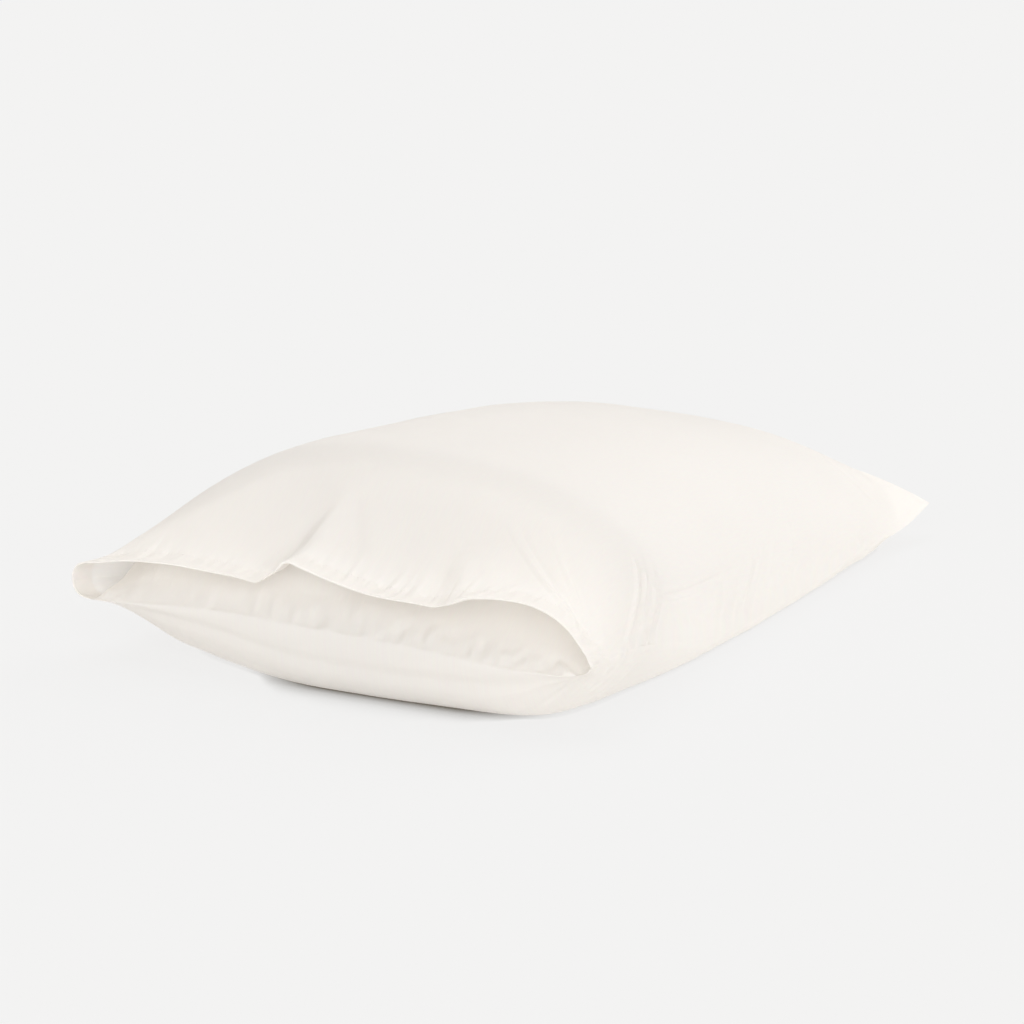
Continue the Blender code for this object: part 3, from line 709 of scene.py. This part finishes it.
def flap_relief(t, v, points):
    """Folds, gathers and slow waves of the flap."""
    normals = outward(flap_face, t, v, 1.0)
    near, _ = arc_from_side(points)
    d = t * FLAP_REACH * LENGTH
    height = fold_field(points, normals, flap_face, FLAP_FOLDS)
    height += fold_puckers(near, d, RANDOM_SEED + FLAP_SEED)
    inside = smooth(d, *FLAP_WAVE_START) * (1.0 - smooth(d, *FLAP_WAVE_STOP))
    height += slow_waves(d, near, FLAP_WAVES) * inside
    return normals, height


def round_fold(points, row, passes):
    """Round the crease at a row of a grid, most at the crease itself."""
    away = np.abs(np.arange(len(points)) - row)
    weight = np.clip(1.0 - away / FOLD_ROWS, 0.0, 1.0)[:, None, None]
    for _ in range(passes):
        mean = points.copy()
        mean[1:-1] = (points[:-2] + 2 * points[1:-1] + points[2:]) / 4
        points = points * (1 - weight) + mean * weight
    return points


def back_points(upper, upper_u):
    """Grid of the lower cloth, its fold at the mouth and the flap, and which cells to keep."""
    few = 1
    turn = TURN_SPAN * np.linspace(0.0, 1.0, TURN_ROWS // few) ** TURN_ROWS_POWER
    rest = 1 - (1 - np.linspace(0.0, 1.0, UNDER_ROWS // few)[1:]) ** UNDER_ROWS_POWER
    u, v = grid(np.append(turn, TURN_SPAN + (1 - TURN_SPAN) * rest)[::-1], columns())
    lower = back_face(u, v)
    normals, height = lower_relief(u, v, lower)
    lower = lower + normals * height[..., None]
    lower = weld_sides(lower, u, upper, upper_u)
    lower[..., 2] = np.maximum(lower[..., 2], 0.0)
    t, w = grid(np.linspace(0.0, 1.0, FLAP_ROWS // few)[1:] ** FLAP_ROWS_POWER, columns())
    flap = flap_face(t, w)
    normals, height = flap_relief(t, w, flap)
    flap = flap + normals * height[..., None]
    side = w > FLAP_FAR_SIDE
    hem_u = t * HEM / LENGTH
    hem = back_face(hem_u, w) - outward(back_face, hem_u, w, -1.0) * HEM_THICK
    flap = np.where(side[..., None], hem, flap)
    points = round_fold(np.concatenate((lower, flap)), len(u) - 1, FOLD_PASSES)
    cells = np.ones((len(points) - 1, points.shape[1] - 1), bool)
    split = side[0, :-1] != side[0, 1:]
    cells[len(u):, split] = False
    rows_u = np.concatenate((u[:, 0], -t[:, 0] * FLAP_REACH))
    return points, rows_u, cells


def smooth_piece(mesh, look):
    """Shade a mesh smooth, give it a look and put it in the scene under the mesh's name."""
    mesh.polygons.foreach_set("use_smooth", np.ones(len(mesh.polygons), bool))
    mesh.materials.append(look)
    made = bpy.data.objects.new(mesh.name, mesh)
    bpy.context.collection.objects.link(made)
    return made


def sheet_mesh(name, points, rows_u, look, cells=None):
    """Make one sheet of cloth with a map of its own length and width."""
    rows, cols = points.shape[:2]
    index = np.arange(rows * cols).reshape(rows, cols)
    quads = np.stack((index[:-1, :-1], index[:-1, 1:], index[1:, 1:], index[1:, :-1]), -1)
    keep = np.ones(quads.shape[:2], bool) if cells is None else cells
    quads = quads[keep]
    mesh = bpy.data.meshes.new(name)
    mesh.from_pydata(points.reshape(-1, 3).tolist(), [], quads.tolist())
    across = np.broadcast_to((columns() + 1) / 2 * FLAT_WIDTH, (rows, cols))
    along = np.broadcast_to((rows_u * FLAT_LENGTH)[:, None], (rows, cols))
    place = np.stack((along, across), -1).reshape(-1, 2)
    layer = mesh.uv_layers.new(name="cloth")
    layer.data.foreach_set("uv", place[quads.reshape(-1)].astype(np.float32).reshape(-1))
    return smooth_piece(mesh, look)


def node(tree, kind, inputs=None, **settings):
    """Add a node. Each input is a value, or a socket that is linked to it."""
    made = tree.nodes.new(kind)
    for key, value in settings.items():
        setattr(made, key, value)
    connect(tree, made, inputs or {})
    return made


def connect(tree, made, inputs):
    """Set inputs of a node, by name or number, to values or link sockets to them."""
    for key, value in inputs.items():
        if isinstance(value, bpy.types.NodeSocket):
            tree.links.new(value, made.inputs[key])
        else:
            made.inputs[key].default_value = value


def math_node(tree, operation, first, second=0.0):
    """One step of arithmetic between sockets or numbers, as a socket."""
    return node(tree, "ShaderNodeMath", {0: first, 1: second}, operation=operation).outputs["Value"]


def eased(tree, value, low, high, start=0.0, stop=1.0):
    """Ease from start to stop while a socket's value goes from low to high."""
    inputs = {"Value": value, "From Min": low, "From Max": high, "To Min": start, "To Max": stop}
    made = node(tree, "ShaderNodeMapRange", inputs, interpolation_type="SMOOTHSTEP")
    return made.outputs["Result"]


def noise_node(tree, place, size):
    """A noise texture of a given scale and detail."""
    scale, detail = size
    return node(tree, "ShaderNodeTexNoise", {"Vector": place, "Scale": scale, "Detail": detail})


def stretched(tree, place, scale):
    """A place scaled on each axis, as a socket."""
    return node(tree, "ShaderNodeMapping", {"Vector": place, "Scale": scale}).outputs["Vector"]


def bump(tree, height, size, before=None):
    """A bump of a given strength and height on top of another one, as a normal."""
    inputs = {"Height": height, "Strength": size[0], "Distance": size[1]}
    if before is not None:
        inputs["Normal"] = before
    return node(tree, "ShaderNodeBump", inputs).outputs["Normal"]


def thread_bands(tree, cloth, direction):
    """One set of the weave's threads, as a smooth wave across the cloth."""
    inputs = {"Vector": cloth, "Scale": 0.5 / WEAVE_PITCH, **WEAVE_WAVER}
    return node(tree, "ShaderNodeTexWave", inputs, wave_type="BANDS", bands_direction=direction,
                wave_profile="SIN").outputs["Fac"]


def hem_gathers(tree, cloth):
    """Small gathers on both sides of the hem's stitch line, strongest in some places."""
    axes = node(tree, "ShaderNodeSeparateXYZ", {"Vector": cloth})
    inward = math_node(tree, "ABSOLUTE", axes.outputs["X"])
    off = math_node(tree, "ABSOLUTE", math_node(tree, "SUBTRACT", inward, HEM))
    near = eased(tree, off, *GATHER_REACH)
    fine = noise_node(tree, stretched(tree, cloth, GATHER_STRETCH), GATHERS).outputs["Fac"]
    some = eased(tree, noise_node(tree, cloth, GATHER_PATCHES).outputs["Fac"], *PATCH_RANGE)
    return math_node(tree, "MULTIPLY", math_node(tree, "MULTIPLY", fine, near), some)


def cloth_look(name):
    """Plain-woven cotton: fine crossing threads, uneven colour, soft creasing, a little worn."""
    shade, warm, roughness, through = LOOKS[name]
    made = bpy.data.materials.new(name)
    made.use_nodes = True
    tree = made.node_tree
    shader = tree.nodes["Principled BSDF"]
    cloth = node(tree, "ShaderNodeUVMap", uv_map="cloth").outputs["UV"]
    place = node(tree, "ShaderNodeTexCoord").outputs["Object"]
    broad = noise_node(tree, place, BROAD_TINT).outputs["Fac"]
    slubs = noise_node(tree, stretched(tree, cloth, SLUB_STRETCH), SLUBS).outputs["Color"]
    tint = node(tree, "ShaderNodeMixRGB", {
        "Fac": broad, "Color1": (*shade, 1.0), "Color2": (*warm, 1.0),
    }).outputs["Color"]
    fibre = node(tree, "ShaderNodeMixRGB", {
        "Fac": SLUB_SHARE, "Color1": tint, "Color2": slubs,
    }, blend_type="MULTIPLY").outputs["Color"]
    rough = node(tree, "ShaderNodeMapRange", {
        "Value": broad, "To Min": roughness - ROUGHNESS_LESS, "To Max": roughness + ROUGHNESS_MORE,
    }).outputs["Result"]
    bands = [thread_bands(tree, cloth, direction) for direction in "XY"]
    weave = bump(tree, math_node(tree, "MULTIPLY", *bands), WEAVE_BUMP)
    gathered = bump(tree, hem_gathers(tree, cloth), GATHER_BUMP, weave)
    soft = bump(tree, noise_node(tree, place, CRUMPLE).outputs["Fac"], CRUMPLE_BUMP, gathered)
    connect(tree, shader, {"Base Color": fibre, "Roughness": rough, "Normal": soft, **COTTON})
    if through > 0:
        thin = node(tree, "ShaderNodeBsdfTranslucent", {"Color": fibre, "Normal": soft})
        both = node(tree, "ShaderNodeMixShader", {
            "Fac": through, 1: shader.outputs["BSDF"], 2: thin.outputs["BSDF"],
        })
        connect(tree, tree.nodes["Material Output"], {"Surface": both.outputs["Shader"]})
    return made


def pillow_piece(look):
    """The pillow inside, just under the cloth all over."""
    rows, cols = PILLOW_ROWS
    p, q = grid(spread(rows, PILLOW_CROWDING) * 2 - 1, spread(cols, PILLOW_CROWDING) * 2 - 1)
    u = PILLOW_MIDDLE + PILLOW_HALF_LENGTH * p * np.sqrt(1 - PILLOW_ROUNDNESS * q**2)
    v = PILLOW_HALF_WIDTH * q * np.sqrt(1 - PILLOW_ROUNDNESS * p**2)
    roof = front_face(u, v)[..., 2]
    under_flap = flap_face(np.clip(u / FLAP_REACH, 0.0, 1.0), v)[..., 2]
    roof = np.where(u < FLAP_REACH * UNDER_FLAP_REACH, np.minimum(roof, under_flap), roof)
    roof = roof - PILLOW_GAP_ABOVE
    floor = back_face(u, v)[..., 2] + PILLOW_GAP_BELOW
    inside = (1 - np.abs(p) ** PILLOW_FLATNESS) * (1 - np.abs(q) ** PILLOW_FLATNESS)
    inside = np.clip(inside, 0, 1) ** PILLOW_EDGE_POWER
    middle, loft = (roof + floor) / 2, (roof - floor) / 2 * inside
    x, y = plan(u, v)
    top = np.stack((x, y, middle + loft), -1)
    base = np.stack((x, y, middle - loft), -1)
    index = np.arange(p.size).reshape(p.shape)
    lower = index + p.size
    for edge in (np.s_[0, :], np.s_[-1, :], np.s_[:, 0], np.s_[:, -1]):
        lower[edge] = index[edge]
    up = np.stack((index[:-1, :-1], index[1:, :-1], index[1:, 1:], index[:-1, 1:]), -1)
    down = np.stack((lower[:-1, :-1], lower[:-1, 1:], lower[1:, 1:], lower[1:, :-1]), -1)
    quads = np.vstack((up.reshape(-1, 4), down.reshape(-1, 4)))
    faces = [tuple(dict.fromkeys(quad)) for quad in quads.tolist()]
    mesh = bpy.data.meshes.new("pillow_fill")
    mesh.from_pydata(np.vstack((top.reshape(-1, 3), base.reshape(-1, 3))).tolist(), [], faces)
    work = bmesh.new()
    work.from_mesh(mesh)
    bmesh.ops.delete(work, geom=[k for k in work.verts if not k.link_faces], context="VERTS")
    bmesh.ops.recalc_face_normals(work, faces=work.faces[:])
    work.to_mesh(mesh)
    work.free()
    layer = mesh.uv_layers.new(name="cloth")
    for loop in mesh.loops:
        at = mesh.vertices[loop.vertex_index].co
        layer.data[loop.index].uv = (at.x, at.y)
    return smooth_piece(mesh, look)


def read_line(at, s, values):
    """Read a point or direction at a distance along a line."""
    return np.array([np.interp(at, s, values[:, k]) for k in range(3)])


def hem_stitches(look):
    """The row of stitches that holds the hem of the upper cloth."""
    u, v = grid([HEM / LENGTH], columns())
    base = front_face(u, v)
    normals, height = upper_relief(u, v, base)
    line, up = (base + normals * height[..., None])[0], normals[0]
    s = np.concatenate(([0.0], np.cumsum(np.linalg.norm(np.diff(line, axis=0), axis=1))))
    turns = np.arange(STITCH_SIDES) * 2 * math.pi / STITCH_SIDES
    points, faces, places = [], [], []
    for start in np.arange(STITCH_MARGIN, s[-1] - STITCH_MARGIN, STITCH_PITCH):
        first = len(points)
        for share, width in STITCH_SHAPE:
            at = start + share * STITCH_LENGTH
            middle, lift = read_line(at, s, line), read_line(at, s, up)
            across = np.cross(lift, read_line(at + STITCH_STEP, s, line) - middle)
            across /= np.linalg.norm(across)
            raised = middle + lift * STITCH_RADIUS * (width - STITCH_SINK)
            for a in turns:
                out = across * math.cos(a) + lift * math.sin(a)
                points.append(raised + width * STITCH_RADIUS * out)
                places.append((at, a * STITCH_RADIUS))
        last = first + (len(STITCH_SHAPE) - 1) * STITCH_SIDES
        for ring in range(first, last, STITCH_SIDES):
            for k in range(STITCH_SIDES):
                a, b = ring + k, ring + (k + 1) % STITCH_SIDES
                faces.append((a, b, b + STITCH_SIDES, a + STITCH_SIDES))
        faces.append(tuple(first + k for k in reversed(range(STITCH_SIDES))))
        faces.append(tuple(last + k for k in range(STITCH_SIDES)))
    mesh = bpy.data.meshes.new("hem_stitches")
    mesh.from_pydata([tuple(k) for k in points], [], faces)
    layer = mesh.uv_layers.new(name="cloth")
    for loop in mesh.loops:
        layer.data[loop.index].uv = places[loop.vertex_index]
    return smooth_piece(mesh, look)


def main_light():
    """Soft lamps in front, at both sides, from above and from the floor, and an even pale room."""
    world = bpy.data.worlds.new("room")
    world.use_nodes = True
    connect(world.node_tree, world.node_tree.nodes["Background"],
            {"Color": ROOM_COLOUR, "Strength": ROOM_STRENGTH})
    bpy.context.scene.world = world
    for name, energy, colour, angle, azimuth, height in LAMPS:
        lamp = bpy.data.lights.new(name, "SUN")
        lamp.energy = energy
        lamp.color = colour
        lamp.angle = math.radians(angle)
        made = bpy.data.objects.new(name, lamp)
        made.rotation_euler = (math.radians(90 - height), 0.0, math.radians(azimuth))
        bpy.context.collection.objects.link(made)


def floor():
    """A plain pale floor, darker where the case hides much of the room from it."""
    mesh = bpy.data.meshes.new("floor")
    corners = ((-1, -1), (1, -1), (1, 1), (-1, 1))
    points = [(x * FLOOR_HALF, y * FLOOR_HALF, FLOOR_LEVEL) for x, y in corners]
    mesh.from_pydata(points, [], [(0, 1, 2, 3)])
    look = bpy.data.materials.new("pale_floor")
    look.use_nodes = True
    tree = look.node_tree
    place = node(tree, "ShaderNodeNewGeometry").outputs["Position"]
    off = node(tree, "ShaderNodeVectorMath", {0: place, 1: SHADE_MIDDLE}, operation="DISTANCE")
    off = off.outputs["Value"]
    reach = eased(tree, off, *SHADE_REACH)
    open_air = node(tree, "ShaderNodeAmbientOcclusion", {"Distance": reach}, samples=SHADE_SAMPLES)
    shade = node(tree, "ShaderNodeValToRGB", {"Fac": open_air.outputs["AO"]})
    ramp = shade.color_ramp
    ramp.interpolation = "EASE"
    stops = ((0.0, SHADE_COLOUR), (SHADE_OPEN, FLOOR_COLOUR))
    for element, (position, colour) in zip(ramp.elements, stops):
        element.position, element.color = position, colour
    strength = eased(tree, off, *SHADE_STRENGTH)
    mix = node(tree, "ShaderNodeMixRGB", {
        "Fac": strength, "Color1": FLOOR_COLOUR, "Color2": shade.outputs["Color"],
    })
    connect(tree, tree.nodes["Principled BSDF"], {
        "Base Color": FLOOR_BASE, "Emission Color": mix.outputs["Color"], "Emission Strength": 1.0,
        "Roughness": 1.0, "Specular IOR Level": 0.0,
    })
    mesh.materials.append(look)
    made = bpy.data.objects.new("floor", mesh)
    bpy.context.collection.objects.link(made)
    made.visible_shadow = False


def camera():
    """The photograph's view of the case."""
    made = bpy.data.objects.new("camera", bpy.data.cameras.new("camera"))
    made.data.sensor_width = SENSOR_MM
    made.data.lens = FOCAL_LENGTH / PICTURE * SENSOR_MM
    azimuth, height = math.radians(CAMERA_AZIMUTH), math.radians(CAMERA_HEIGHT)
    flat = math.cos(height)
    back = (math.sin(azimuth) * flat, -math.cos(azimuth) * flat, math.sin(height))
    made.location = [aim + CAMERA_DISTANCE * step for aim, step in zip(CAMERA_AIM, back)]
    made.rotation_euler = (math.pi / 2 - height, 0.0, azimuth)
    bpy.context.collection.objects.link(made)
    bpy.context.scene.camera = made


def main():
    """Dress the part, then set its floor, its light and its camera."""
    points, rows_u = front_points()
    front = sheet_mesh("front_cloth", points, rows_u, cloth_look("ivory_percale"))
    points, rows_u, cells = back_points(points[-len(front_rows()):], front_rows())
    # The lower cloth takes the touch warmer copy of the cotton, a painted shade
    back = sheet_mesh("back_cloth", points, rows_u, cloth_look("ivory_percale_low_shaded"), cells)
    pillow = pillow_piece(cloth_look("pillow_casing"))
    stitches = hem_stitches(cloth_look("ivory_thread"))
    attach(stitches, "root")
    for piece, name, slot in (
        (front, "front_panel", "ivory_cotton_front"),
        (back, "back_panel", "ivory_cotton_back"),
        (pillow, "pillow", "pillow_cotton"),
    ):
        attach(piece, "root")
        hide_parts(name)
    floor()
    main_light()
    camera()
    view = bpy.context.scene.view_settings
    view.view_transform = "Standard"
    view.look = "None"


main()
